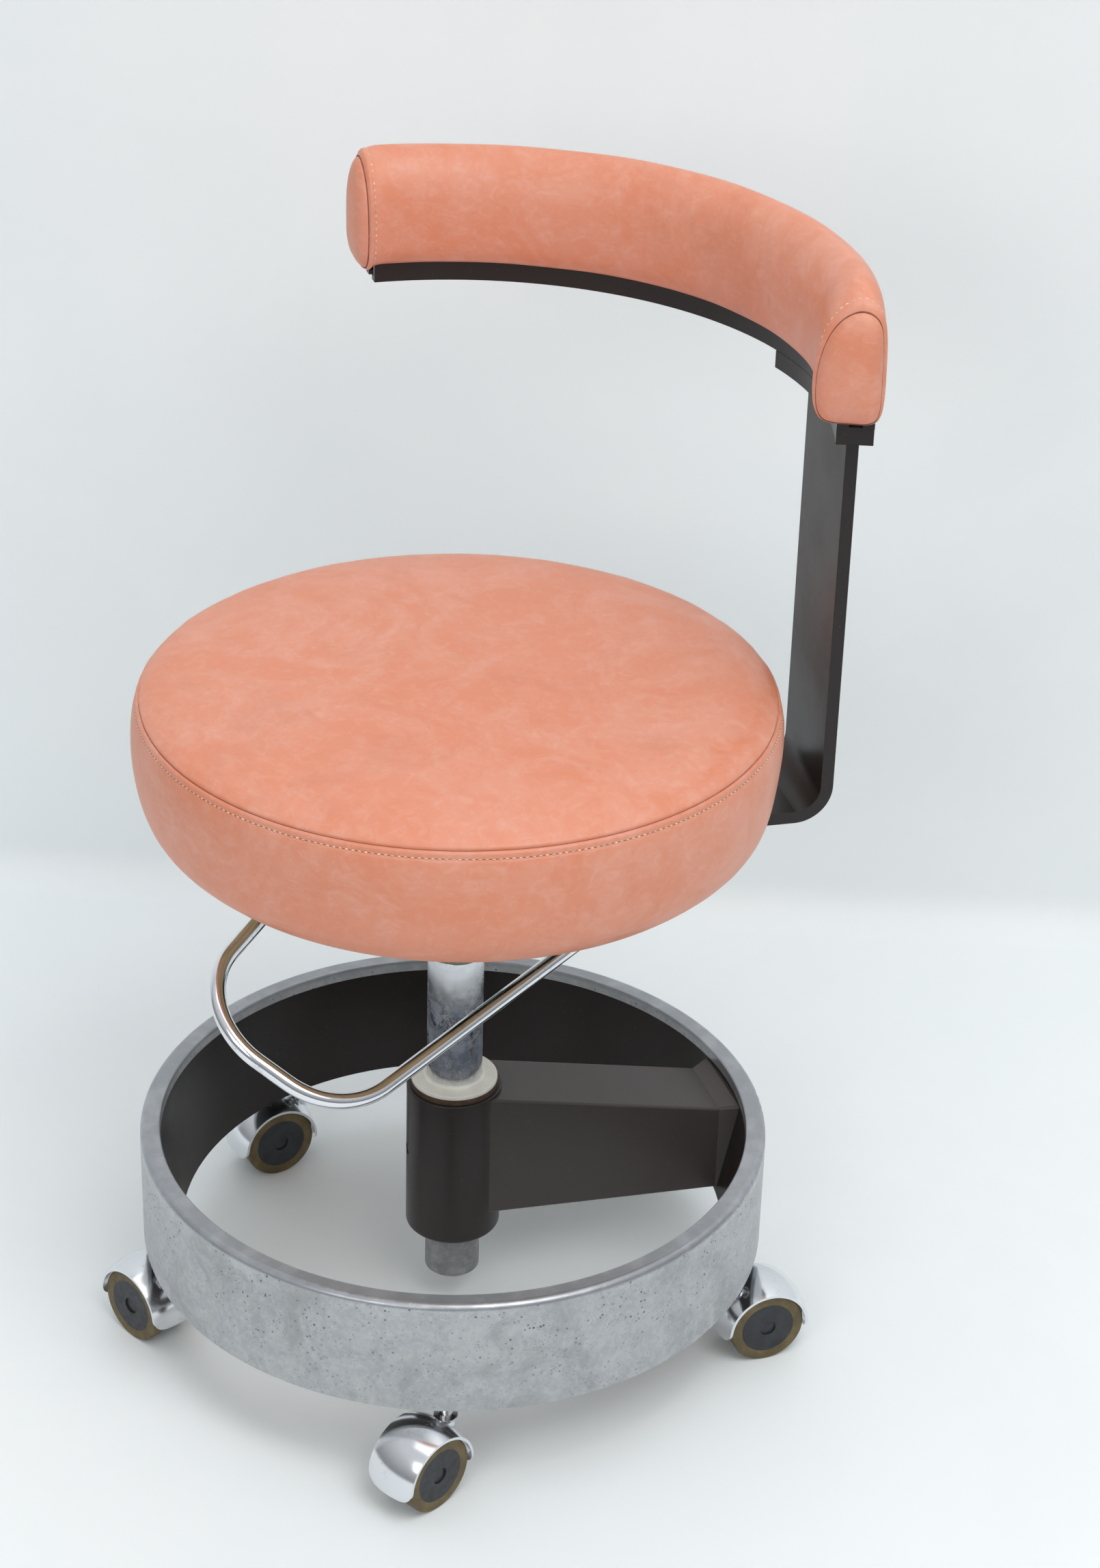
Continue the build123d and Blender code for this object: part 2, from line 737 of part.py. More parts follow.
with BuildPart() as lever_ears:
    for side in (-1, 1):
        ear_start = lever_block_x + side * ear_inside
        with BuildSketch(Plane.YZ.offset(ear_start)):
            with Locations((lever_pivot_y, (lever_pivot_z + leg_bottom) / 2 - block_height / 4)):
                Rectangle(lever_ear_depth, leg_bottom - lever_pivot_z + block_height / 2)
        extrude(amount=side * lever_ear_thickness)
    with BuildSketch(Plane.YZ.offset(lever_block_x - block_length)):
        with Locations((lever_pivot_y, lever_pivot_z)):
            Circle(lever_pin_radius)
    extrude(amount=2 * block_length, mode=Mode.SUBTRACT)
save(lever_ears.part, "lever_ears")

pin_half_length = ear_inside + lever_ear_thickness
with BuildPart() as lever_pin:
    with BuildSketch(Plane.YZ.offset(lever_block_x - pin_half_length)):
        with Locations((lever_pivot_y, lever_pivot_z)):
            Circle(lever_pin_radius)
    extrude(amount=2 * pin_half_length)
save(lever_pin.part, "lever_pin")

# ---------------------------------------------------------------- casters


def wheel_plane(pivot_angle, trail_angle):
    """Plane at the wheels' centre: local x trails away from the stem, local y runs up."""
    pivot_x, pivot_y = polar(caster_circle_radius, pivot_angle)
    trail_x, trail_y = polar(caster_trail, trail_angle)
    along = (cos(radians(trail_angle)), sin(radians(trail_angle)), 0)
    side = (sin(radians(trail_angle)), -cos(radians(trail_angle)), 0)
    return Plane(origin=(pivot_x + trail_x, pivot_y + trail_y, wheel_radius), x_dir=along, z_dir=side)


def pivot_plane(pivot_angle, height):
    """Level plane on the caster's swivel axis."""
    return Plane(origin=(*polar(caster_circle_radius, pivot_angle), height))


def make_hood(plane, pivot_angle):
    """Crowned shell over both wheels, with the centre web that holds the axle and the stem."""
    axis = Axis(plane.origin, plane.z_dir)
    section = Plane(origin=plane.origin, x_dir=plane.y_dir, z_dir=plane.x_dir)
    with BuildPart() as hood:
        with BuildSketch(section):
            with BuildLine():
                edge = hood_radius - hood_crown
                outside = ThreePointArc(
                    (edge, -hood_half_width), (hood_radius, 0), (edge, hood_half_width))
                inside = ThreePointArc(
                    (edge - hood_wall, -hood_half_width), (hood_radius - hood_wall, 0),
                    (edge - hood_wall, hood_half_width))
                Line(outside @ 0, inside @ 0)
                Line(outside @ 1, inside @ 1)
            make_face()
        revolve(axis=axis)
        with BuildSketch(plane.offset(-web_half_width)):
            Circle(hood_radius - hood_wall / 2)
        extrude(amount=2 * web_half_width)
        with BuildSketch(plane.offset(-hood_half_width)):
            with Locations((0, -hood_drop)):
                Rectangle(3 * hood_radius, 2 * hood_radius, align=(Align.CENTER, Align.MAX))
        extrude(amount=2 * hood_half_width, mode=Mode.SUBTRACT)
        with BuildSketch(Plane(origin=plane.origin, x_dir=plane.z_dir, z_dir=-plane.x_dir)):
            with Locations((0, -hood_drop)):
                RectangleRounded(2 * hood_half_width, 3 * hood_radius, hood_corner,
                                 align=(Align.CENTER, Align.MIN))
        extrude(amount=2 * hood_radius, both=True, mode=Mode.INTERSECT)
        with BuildSketch(plane.offset(-web_half_width)):
            Circle(axle_radius + run_clearance + 3)
        extrude(amount=2 * web_half_width)
        with BuildSketch(pivot_plane(pivot_angle, stem_bottom)):
            Circle(stem_seat_radius - 1)
        extrude(amount=stem_boss_top - stem_bottom)
        with BuildSketch(pivot_plane(pivot_angle, stem_boss_top)):
            Circle(stem_seat_radius + slide_clearance)
        extrude(amount=hood_radius, mode=Mode.SUBTRACT)
        with BuildSketch(pivot_plane(pivot_angle, stem_bottom - run_clearance)):
            Circle(stem_radius + run_clearance)
        extrude(amount=base_bottom, mode=Mode.SUBTRACT)
        with BuildSketch(plane.offset(-hood_half_width)):
            Circle(axle_radius + run_clearance)
        extrude(amount=2 * hood_half_width, mode=Mode.SUBTRACT)
    return hood.part


def make_stem(pivot_angle):
    """Stem pressed into the base, with a small collar that the hood turns under."""
    with BuildPart() as stem:
        with BuildSketch(pivot_plane(pivot_angle, stem_bottom)):
            Circle(stem_radius)
        extrude(amount=socket_top - stem_bottom)
        with BuildSketch(pivot_plane(pivot_angle, stem_boss_top + slide_clearance)):
            Circle(stem_seat_radius)
        extrude(amount=hood_wall)
    return stem.part


wheel_inner_face = web_half_width + wheel_side_gap
wheel_width = wheel_outer_face - wheel_inner_face
hub_disc_radius = wheel_radius - tyre_thickness
axle_end = wheel_outer_face - 2 * hub_dimple_depth - 1


def make_tyres(plane):
    """Two soft tyres, one each side of the web."""
    with BuildPart() as tyres:
        for side in (-1, 1):
            with BuildSketch(plane.offset(side * wheel_inner_face)):
                Circle(wheel_radius)
                Circle(hub_disc_radius, mode=Mode.SUBTRACT)
            extrude(amount=side * wheel_width)
        fillet(edges().filter_by(GeomType.CIRCLE).filter_by(lambda edge: edge.radius > hub_disc_radius), 1.2)
    return tyres.part


def make_hubs(plane):
    """Two hub discs with a shallow dimple, bored for the axle from the inside."""
    with BuildPart() as hubs:
        for side in (-1, 1):
            with BuildSketch(plane.offset(side * wheel_inner_face)):
                Circle(hub_disc_radius)
            extrude(amount=side * wheel_width)
            with BuildSketch(plane.offset(side * wheel_outer_face)):
                Circle(hub_dimple_radius)
            extrude(amount=-side * hub_dimple_depth, mode=Mode.SUBTRACT)
            with BuildSketch(plane.offset(side * wheel_inner_face)):
                Circle(axle_radius)
            extrude(amount=side * (axle_end - wheel_inner_face), mode=Mode.SUBTRACT)
    return hubs.part


def make_axle(plane):
    """Axle that turns with both wheels."""
    with BuildPart() as axle:
        with BuildSketch(plane.offset(-axle_end)):
            Circle(axle_radius)
        extrude(amount=2 * axle_end)
    return axle.part


for number, (pivot_angle, trail_angle) in enumerate(zip(caster_angles, caster_trail_angles), start=1):
    plane = wheel_plane(pivot_angle, trail_angle)
    save(make_hood(plane, pivot_angle), f"caster_hood_{number}")
    save(make_stem(pivot_angle), f"caster_stem_{number}")
    save(make_tyres(plane), f"caster_tyres_{number}")
    save(make_hubs(plane), f"caster_hubs_{number}")
    save(make_axle(plane), f"caster_axle_{number}")
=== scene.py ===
"""Looks of the operator stool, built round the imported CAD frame. Metres, the frame's own axes."""

import json
import math

import bpy
import numpy as np
from mathutils import Matrix, Vector


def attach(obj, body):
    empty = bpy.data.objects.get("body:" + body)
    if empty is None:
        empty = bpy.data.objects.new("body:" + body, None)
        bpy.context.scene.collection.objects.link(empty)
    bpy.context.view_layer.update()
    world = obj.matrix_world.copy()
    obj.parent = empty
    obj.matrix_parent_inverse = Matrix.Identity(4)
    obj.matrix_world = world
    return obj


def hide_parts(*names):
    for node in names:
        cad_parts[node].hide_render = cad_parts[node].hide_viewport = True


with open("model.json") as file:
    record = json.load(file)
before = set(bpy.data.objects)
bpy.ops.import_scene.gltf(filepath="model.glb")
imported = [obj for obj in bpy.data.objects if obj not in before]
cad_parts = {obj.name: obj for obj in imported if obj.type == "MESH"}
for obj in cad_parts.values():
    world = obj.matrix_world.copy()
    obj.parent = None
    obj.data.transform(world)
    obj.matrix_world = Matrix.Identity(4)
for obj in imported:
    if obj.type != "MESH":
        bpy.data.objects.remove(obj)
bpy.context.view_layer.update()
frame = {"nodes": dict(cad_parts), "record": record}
nodes = frame["nodes"]

bpy.context.scene.view_settings.view_transform = "Standard"


# ------------------------------------------------------------------ camera

def turned(azimuth, elevation):
    """Unit vector at this azimuth and elevation, in degrees."""
    a, e = math.radians(azimuth), math.radians(elevation)
    return Vector((math.cos(a) * math.cos(e), math.sin(a) * math.cos(e), math.sin(e)))


def make_camera(place, azimuth, elevation, roll, lens):
    """Camera at a place, looking along an azimuth and elevation, rolled about its own axis."""
    ahead = turned(azimuth, elevation)
    level = ahead.cross(Vector((0, 0, 1))).normalized()
    above = level.cross(ahead)
    right = level * math.cos(roll) + above * math.sin(roll)
    up = -level * math.sin(roll) + above * math.cos(roll)
    data = bpy.data.cameras.new("camera")
    data.lens = lens
    data.sensor_width = 36
    camera = bpy.data.objects.new("camera", data)
    bpy.context.scene.collection.objects.link(camera)
    rows = [(right[i], up[i], -ahead[i], place[i]) for i in range(3)] + [(0, 0, 0, 1)]
    camera.matrix_world = Matrix(rows)
    bpy.context.scene.camera = camera


make_camera((1.7564, -0.3815, 1.3777), 165.94, -28.77, 0.0290, 76.09)


# ------------------------------------------------------------------ material kit

class Shader:
    """A node material with short calls for the nodes this scene needs."""

    def __init__(self, name, color=(0.5, 0.5, 0.5), roughness=0.5, metallic=0.0, **sockets):
        self.material = bpy.data.materials.new(name)
        self.material.use_nodes = True
        self.tree = self.material.node_tree
        self.bsdf = self.tree.nodes["Principled BSDF"]
        self.out = self.tree.nodes["Material Output"]
        self.bsdf.inputs["Base Color"].default_value = (*color, 1)
        self.bsdf.inputs["Roughness"].default_value = roughness
        self.bsdf.inputs["Metallic"].default_value = metallic
        for key, value in sockets.items():
            self.bsdf.inputs[key.replace("_", " ")].default_value = value
        self.place = self.tree.nodes.new("ShaderNodeTexCoord").outputs["Object"]
        self.material.diffuse_color = (*color, 1)

    def link(self, a, b):
        self.tree.links.new(a, b)

    def scaled(self, scale):
        node = self.tree.nodes.new("ShaderNodeMapping")
        node.inputs["Scale"].default_value = scale
        self.link(self.place, node.inputs["Vector"])
        return node.outputs["Vector"]

    def noise(self, scale, detail=4.0, roughness=0.55, distortion=0.0, at=None):
        node = self.tree.nodes.new("ShaderNodeTexNoise")
        node.inputs["Scale"].default_value = scale
        node.inputs["Detail"].default_value = detail
        node.inputs["Roughness"].default_value = roughness
        node.inputs["Distortion"].default_value = distortion
        self.link(at or self.place, node.inputs["Vector"])
        return node.outputs["Fac"]

    def cells(self, scale, at=None, feature="F1"):
        node = self.tree.nodes.new("ShaderNodeTexVoronoi")
        node.feature = feature
        node.inputs["Scale"].default_value = scale
        self.link(at or self.place, node.inputs["Vector"])
        return node.outputs["Distance"]

    def step(self, value, low, high, to_low=0.0, to_high=1.0):
        node = self.tree.nodes.new("ShaderNodeMapRange")
        node.interpolation_type = "SMOOTHSTEP"
        for key, number in zip(("From Min", "From Max", "To Min", "To Max"), (low, high, to_low, to_high)):
            node.inputs[key].default_value = number
        self.link(value, node.inputs["Value"])
        return node.outputs["Result"]

    def math(self, kind, a, b=None):
        node = self.tree.nodes.new("ShaderNodeMath")
        node.operation = kind
        for socket, value in zip(node.inputs, (a, b)):
            if value is None:
                continue
            if isinstance(value, (int, float)):
                socket.default_value = value
            else:
                self.link(value, socket)
        return node.outputs["Value"]

    def mix(self, amount, a, b):
        node = self.tree.nodes.new("ShaderNodeMix")
        node.data_type = "RGBA"
        for socket, value in ((node.inputs[0], amount), (node.inputs[6], a), (node.inputs[7], b)):
            if isinstance(value, (int, float)):
                socket.default_value = value
            elif isinstance(value, tuple):
                socket.default_value = (*value, 1)
            else:
                self.link(value, socket)
        return node.outputs[2]

    def axis(self, index):
        node = self.tree.nodes.new("ShaderNodeSeparateXYZ")
        self.link(self.place, node.inputs[0])
        return node.outputs[index]

    def set(self, socket, value):
        self.link(value, self.bsdf.inputs[socket])

    def bump(self, height, strength, distance, after=None):
        node = self.tree.nodes.new("ShaderNodeBump")
        node.inputs["Strength"].default_value = strength
        node.inputs["Distance"].default_value = distance
        self.link(height, node.inputs["Height"])
        if after is not None:
            self.link(after, node.inputs["Normal"])
        self.link(node.outputs["Normal"], self.bsdf.inputs["Normal"])
        return node.outputs["Normal"]


def vinyl_material(name, deep, pale, dark):
    """Mottled vinyl: brushed paler clouds, fine grain and a few dark scuffs."""
    s = Shader(name, deep, 0.5, Coat_Weight=0.12, Coat_Roughness=0.38)
    clouds = s.noise(15, 6, 0.66, 1.2)
    fine = s.noise(95, 9, 0.74, 0.9, s.scaled((1, 1, 1.5)))
    mottle = s.math("ADD", s.step(clouds, 0.38, 0.66, 0, 0.46), s.step(fine, 0.44, 0.66, 0, 0.40))
    color = s.mix(mottle, deep, pale)
    grime = s.step(s.noise(7.5, 7, 0.72, 0.8), 0.52, 0.74, 0, 0.40)
    color = s.mix(grime, color, dark)
    specks = s.step(s.cells(95), 0.045, 0.02, 0, 1)
    rare = s.step(s.noise(9, 2), 0.60, 0.66)
    color = s.mix(s.math("MULTIPLY", s.math("MULTIPLY", specks, rare), 0.45), color, (0.16, 0.10, 0.08))
    s.set("Base Color", color)
    s.set("Roughness", s.step(fine, 0.3, 0.7, 0.42, 0.52))
    first = s.bump(s.cells(1500, feature="SMOOTH_F1"), 0.10, 0.0003)
    s.bump(s.noise(70, 4, 0.6), 0.10, 0.0012, first)
    return s.material


def paint_material(name, color, roughness=0.4, chips=0.5, rust=(0.16, 0.14, 0.13)):
    """Satin paint with a faint orange peel and sparse small chips."""
    s = Shader(name, color, roughness, Specular_IOR_Level=0.36)
    wide = s.noise(9, 4, 0.6)
    base = s.mix(s.step(wide, 0.35, 0.7, 0, 0.30), color, tuple(c * 1.3 + 0.002 for c in color))
    spots = s.step(s.cells(170), 0.075, 0.035)
    gate = s.step(s.noise(23, 3), 0.60, 0.68, 0, chips)
    chip = s.math("MULTIPLY", spots, gate)
    dust = s.step(s.noise(420, 3, 0.7), 0.63, 0.74, 0, 0.16)
    base = s.mix(dust, base, (0.22, 0.20, 0.19))
    s.set("Base Color", s.mix(chip, base, rust))
    s.set("Roughness", s.step(s.noise(18, 4, 0.65), 0.35, 0.7, roughness - 0.02, roughness + 0.05))
    first = s.bump(s.noise(650, 3, 0.6), 0.10, 0.0002)
    s.bump(s.step(spots, 0, 1, 1, 0), 0.05, 0.0002, first)
    return s.material


def rim_material():
    """Dulled aluminium band: clouded and pitted face below a smoother, greyer lip."""
    s = Shader("rim_metal", (0.36, 0.37, 0.38), 0.42, 0.75)
    height = s.axis(2)
    lip = s.step(height, 0.1385, 0.1412)
    under = s.step(height, 0.128, 0.141)
    clouds = s.noise(42, 7, 0.68, 0.5)
    grain = s.noise(230, 5, 0.72)
    face = s.mix(s.step(clouds, 0.34, 0.68), (0.395, 0.41, 0.425), (0.50, 0.515, 0.525))
    face = s.mix(s.step(grain, 0.42, 0.66, 0, 0.40), face, (0.60, 0.615, 0.62))
    pits = s.step(s.cells(250), 0.26, 0.13)
    crowd = s.step(s.noise(46, 5, 0.7), 0.44, 0.58)
    dark = s.math("MULTIPLY", s.math("MULTIPLY", pits, crowd), s.step(height, 0.066, 0.132, 0.35, 0.95))
    small = s.math("MULTIPLY", s.step(s.cells(480), 0.22, 0.10), s.step(s.noise(60, 3), 0.46, 0.60, 0, 0.75))
    face = s.mix(s.math("MAXIMUM", dark, small), face, (0.085, 0.09, 0.095))
    stain = s.step(s.noise(22, 8, 0.74, 0.6), 0.47, 0.66, 0, 0.55)
    face = s.mix(stain, face, (0.29, 0.305, 0.31))
    edge = s.mix(s.step(s.noise(55, 5, 0.6), 0.4, 0.7), (0.36, 0.375, 0.40), (0.45, 0.465, 0.495))
    s.set("Base Color", s.mix(lip, face, edge))
    rough = s.step(clouds, 0.3, 0.7, 0.40, 0.56)
    s.set("Roughness", s.math("MULTIPLY", rough, s.step(under, 0, 1, 1.0, 0.72)))
    first = s.bump(s.math("ADD", s.step(s.math("MAXIMUM", dark, small), 0, 1, 1, 0), grain), 0.16, 0.0004)
    s.bump(s.noise(26, 4, 0.5), 0.10, 0.0012, first)
    return s.material


def chrome_material(name, wear=0.5, low=None, high=None, grime=(0.12, 0.10, 0.085), gloss=0.08):
    """Chrome with pits; between two heights, if given, it is corroded blue-grey, and dull at its foot."""
    s = Shader(name, (0.78, 0.80, 0.83), 0.09, 1.0)
    pits = s.step(s.cells(520), 0.24, 0.10)
    gate = s.step(s.noise(38, 4, 0.65), 0.52, 0.62)
    mark = s.math("MULTIPLY", pits, gate)
    film = s.step(s.noise(60, 6, 0.7, 0.5), 0.50, 0.72, 0, 0.55)
    mark = s.math("MULTIPLY", s.math("MAXIMUM", mark, s.math("MULTIPLY", film, gate)), wear)
    color = s.mix(mark, (0.78, 0.80, 0.83), grime)
    rough = s.step(mark, 0, 0.6, gloss, 0.42)
    metal = s.step(mark, 0.2, 0.8, 1.0, 0.45)
    if low is not None:
        z = s.axis(2)
        from_below = s.step(z, low - 0.006, low + 0.010)
        band = s.math("MULTIPLY", from_below, s.step(z, high - 0.014, high + 0.004, 1, 0))
        patch = s.step(s.noise(85, 9, 0.78, 0.4, s.scaled((1, 1, 0.7))), 0.445, 0.50, 0, 0.96)
        rot = s.math("MULTIPLY", band, patch)
        color = s.mix(rot, color, (0.045, 0.060, 0.095))
        rough = s.math("MAXIMUM", rough, s.math("MULTIPLY", rot, 0.5))
        metal = s.math("MULTIPLY", metal, s.step(rot, 0, 1, 1, 0.35))
        bloom = s.math("MULTIPLY", band, s.step(s.noise(60, 7, 0.72), 0.44, 0.60, 0.25, 0.75))
        color = s.mix(bloom, color, (0.34, 0.37, 0.43))
        rough = s.math("MAXIMUM", rough, s.math("MULTIPLY", bloom, 0.6))
        haze = s.step(s.noise(45, 5, 0.7), 0.35, 0.65, 0.16, 0.30)
        rough = s.math("MAXIMUM", rough, haze)
        stub = s.step(z, 0.062, 0.075, 1, 0)
        dull = s.mix(s.step(s.noise(90, 6, 0.7), 0.35, 0.65), (0.22, 0.225, 0.23), (0.34, 0.345, 0.35))
        color = s.mix(stub, color, dull)
        rough = s.math("MAXIMUM", rough, s.math("MULTIPLY", stub, 0.42))
        metal = s.math("MULTIPLY", metal, s.step(stub, 0, 1, 1, 0.6))
    s.set("Base Color", color)
    s.set("Roughness", rough)
    s.set("Metallic", metal)
    s.bump(s.math("ADD", s.step(mark, 0, 1, 1, 0), s.noise(16, 3, 0.5)), 0.06, 0.0006)
    return s.material


def plain_material(name, color, roughness, metallic=0.0, spread=0.25, scale=60, grain=0.08):
    """Moulded or turned surface with gentle colour and gloss variation."""
    s = Shader(name, color, roughness, metallic)
    cloud = s.noise(scale, 5, 0.65)
    s.set("Base Color", s.mix(s.step(cloud, 0.35, 0.7), tuple(c * (1 - spread) for c in color),
                              tuple(min(1, c * (1 + spread)) for c in color)))
    s.set("Roughness", s.step(s.noise(scale * 3, 4), 0.3, 0.7, max(0.04, roughness - 0.08), roughness + 0.1))
    s.bump(s.noise(scale * 12, 3), grain, 0.0003)
    return s.material


vinyl = vinyl_material("vinyl", (0.70, 0.243, 0.135), (0.745, 0.352, 0.258), (0.53, 0.188, 0.112))
thread = plain_material("thread", (0.78, 0.54, 0.38), 0.7, scale=300)
# seam_shade colours the dark lines laid in seam grooves and in the stitch valley: painted shade.
seam_shade = plain_material("seam_shade", (0.25, 0.078, 0.045), 0.8, scale=200)
rim_metal = rim_material()
# Three copies of one paint at different brightness, set for how the light falls: the main copy is darkened as
# painted shade, the hub's is lighter and the arm's lighter still as painted light; the arm and hub copies also
# carry more real chips.
brown = paint_material("brown_paint", (0.016, 0.0115, 0.0105), 0.34, 0.55)
brown_arm_lit = paint_material("brown_paint_worn_and_lit", (0.056, 0.047, 0.045), 0.38, 0.85)
brown_hub_lit = paint_material("brown_paint_hub_lit", (0.026, 0.020, 0.019), 0.34, 0.9)
chrome_rod = chrome_material("chrome_rod", 0.75)
chrome_tube = chrome_material("chrome_tube", 0.6, 0.182, 0.243)
chrome_hood = chrome_material("chrome_hood", 0.5, gloss=0.17)
stem_chrome = plain_material("stem_chrome", (0.56, 0.56, 0.57), 0.22, 1.0, spread=0.3, scale=120, grain=0.02)
steel = plain_material("steel", (0.50, 0.50, 0.51), 0.32, 1.0, scale=90)
cylinder_paint = plain_material("cylinder_paint", (0.34, 0.40, 0.36), 0.38, scale=40)
nylon = plain_material("nylon", (0.86, 0.86, 0.79), 0.42, spread=0.06, scale=70)
felt = plain_material("felt", (0.085, 0.05, 0.03), 0.75, scale=220, grain=0.3)
tyre = plain_material("tyre", (0.135, 0.098, 0.038), 0.55, spread=0.25, scale=80)
hub_plastic = plain_material("hub_plastic", (0.020, 0.022, 0.027), 0.42, spread=0.3, scale=70)
plywood = plain_material("plywood", (0.45, 0.29, 0.15), 0.6, scale=24)

by_slot = {
    "vinyl": vinyl, "foam_core": plywood, "rim_metal": rim_metal, "brown_paint": brown,
    "chrome_tube": chrome_tube, "chrome_rod": chrome_rod, "chrome_hood": chrome_hood, "steel": steel,
    "cylinder_paint": cylinder_paint, "nylon": nylon, "felt": felt, "tyre": tyre, "hub_plastic": hub_plastic,
}
slot_of = {entry["node"]: entry["material_slot"] for entry in frame["record"]["subparts"]}
for node_name, obj in nodes.items():
    obj.data.materials.clear()
    obj.data.materials.append(by_slot[slot_of[node_name]])
# The arm and hub take the lighter copies of the paint: painted light, with more chips.
nodes["support_arm"].data.materials[0] = brown_arm_lit
nodes["hub"].data.materials[0] = brown_hub_lit
for number in range(1, 6):
    nodes[f"caster_stem_{number}"].data.materials[0] = stem_chrome


# ------------------------------------------------------------------ mesh kit

def add_mesh(name, points, faces, material, body):
    """Smooth mesh object with one material, riding on a body when one is given."""
    mesh = bpy.data.meshes.new(name)
    mesh.from_pydata([tuple(p) for p in points], [], [tuple(f) for f in faces])
    mesh.validate()
    mesh.update()
    mesh.polygons.foreach_set("use_smooth", [True] * len(mesh.polygons))
    obj = bpy.data.objects.new(name, mesh)
    bpy.context.scene.collection.objects.link(obj)
    mesh.materials.append(material)
    if body:
        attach(obj, body)
    return obj


def grid_faces(rows, columns, wrap_columns=True):
    """Quads of a grid of points, row after row."""
    faces = []
    last = columns if wrap_columns else columns - 1
    for i in range(rows - 1):
        for j in range(last):
            k = (j + 1) % columns
            faces.append((i * columns + j, i * columns + k, (i + 1) * columns + k, (i + 1) * columns + j))
    return faces


def smooth_line(points, count, closed=False):
    """Evenly spaced points on a smooth line through the given ones."""
    p = np.array(points, float)
    n = len(p)
    spans = n if closed else n - 1
    out = []
    for i in range(spans):
        if closed:
            a, b, c, d = p[(i - 1) % n], p[i], p[(i + 1) % n], p[(i + 2) % n]
        else:
            a, b, c, d = p[max(i - 1, 0)], p[i], p[i + 1], p[min(i + 2, n - 1)]
        for t in np.arange(0, 1, 0.04):
            out.append(0.5 * (2 * b + (c - a) * t + (2 * a - 5 * b + 4 * c - d) * t ** 2
                              + (3 * b - a - 3 * c + d) * t ** 3))
    out.append(p[0] if closed else p[-1])
    out = np.array(out)
    run = np.concatenate([[0], np.cumsum(np.linalg.norm(np.diff(out, axis=0), axis=1))])
    at = np.linspace(0, run[-1], count + 1)[:-1] if closed else np.linspace(0, run[-1], count)
    return np.stack([np.interp(at, run, out[:, k]) for k in range(p.shape[1])], axis=1)


def stitch_row(name, path, outward, pitch, length, radius, body, lift=0.25):
    """Row of single stitches along a path of points, each a thin arched thread; one mesh."""
    path, outward = np.array(path, float), np.array(outward, float)
    run = np.concatenate([[0], np.cumsum(np.linalg.norm(np.diff(path, axis=0), axis=1))])
    count = int(run[-1] / pitch)
    points, faces = [], []
    sides, steps = 6, 5
    for index in range(count):
        start = index * run[-1] / count
        ring_start = len(points)
        for step in range(steps):
            share = step / (steps - 1)
            at = start + length * share
            centre = np.array([np.interp(at, run, path[:, k]) for k in range(3)])
            out = np.array([np.interp(at, run, outward[:, k]) for k in range(3)])
            out /= np.linalg.norm(out)
            ahead = np.array([np.interp(at + 1e-4, run, path[:, k]) for k in range(3)]) - centre
            ahead /= np.linalg.norm(ahead) + 1e-12
            side = np.cross(ahead, out)
            arch = math.sin(math.pi * share)
            middle = centre + out * radius * (lift * 2 * arch - (1 - arch) * 0.9)
            thick = radius * (0.55 + 0.45 * arch)
            for k in range(sides):
                turn = 2 * math.pi * k / sides
                points.append(middle + (math.cos(turn) * side + math.sin(turn) * out) * thick)
        for step in range(steps - 1):
            for k in range(sides):
                n = (k + 1) % sides
                a = ring_start + step * sides
                faces.append((a + k, a + n, a + sides + n, a + sides + k))
    return add_mesh(name, points, faces, thread, body)


def seam_shade_line(name, path, radius, body):
    """Thin dark line of painted shade lying in the bottom of a seam, along a closed path of points; one mesh.
    """
    path = np.array(path, float)
    ahead = np.roll(path, -1, axis=0) - np.roll(path, 1, axis=0)
    ahead /= np.linalg.norm(ahead, axis=1, keepdims=True)
    side = np.cross(ahead, np.array([0.0, 0.0, 1.0]) + 1e-3)
    side /= np.linalg.norm(side, axis=1, keepdims=True)
    above = np.cross(side, ahead)
    sides = 6
    turn = np.arange(sides) * 2 * math.pi / sides
    rings = path[:, None] + radius * (side[:, None] * np.cos(turn)[None, :, None]
                                      + above[:, None] * np.sin(turn)[None, :, None])
    faces = grid_faces(len(path), sides)
    last = (len(path) - 1) * sides
    faces += [(last + k, last + (k + 1) % sides, (k + 1) % sides, k) for k in range(sides)]
    return add_mesh(name, rings.reshape(-1, 3), faces, seam_shade, body)


# ------------------------------------------------------------------ seat cushion

SEAT_PROFILE = [
    (0, 381.7), (80, 381.7), (160, 381.7), (170.35, 381.6), (170.45, 376), (170.5, 369.9), (172, 369.25),
    (175.5, 369.4), (180, 371.6), (184.5, 375.5), (189.5, 381), (193.6, 388), (196.6, 398), (198.6, 412),
    (199.4, 428), (198.8, 441), (196.6, 450), (194.3, 454.4), (190.6, 457.8), (185, 460.4), (175, 463.2),
    (155, 466.0), (120, 468.0), (60, 469.4), (0, 469.8),
]
SEAM_RADIUS, SEAM_HEIGHT = 194.6, 453.8


